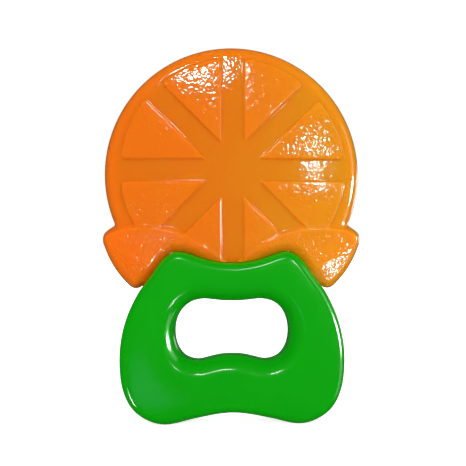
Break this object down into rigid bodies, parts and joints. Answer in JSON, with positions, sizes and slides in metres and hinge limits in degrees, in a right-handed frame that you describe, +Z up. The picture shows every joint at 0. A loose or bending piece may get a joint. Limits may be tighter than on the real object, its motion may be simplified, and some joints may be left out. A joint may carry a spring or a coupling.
{
  "type": "teething ring",
  "caption": "Water-filled citrus-slice teether: soft translucent chewing head with raised segments, clamped in a smooth rounded plastic loop handle",
  "frame": {"origin": "middle of the base, on the ground between the handle's two feet, at the joint between the two halves", "axes": "+Z up the length from the handle to the top of the slice, -Y out of the front face, +X to the right seen from the front"},
  "size_m": [0.0794, 0.015, 0.115],
  "materials": {
    "soft_orange": "satin",
    "water": "gloss",
    "plug": "satin",
    "leaf_green": "gloss"
  },
  "bodies": {
    "root": {"head_front_shell": "soft_orange", "head_rear_shell": "soft_orange", "cooling_water": "water", "filling_plug": "plug", "handle_front_shell": "leaf_green", "handle_rear_shell": "leaf_green"}
  },
  "joints": []
}
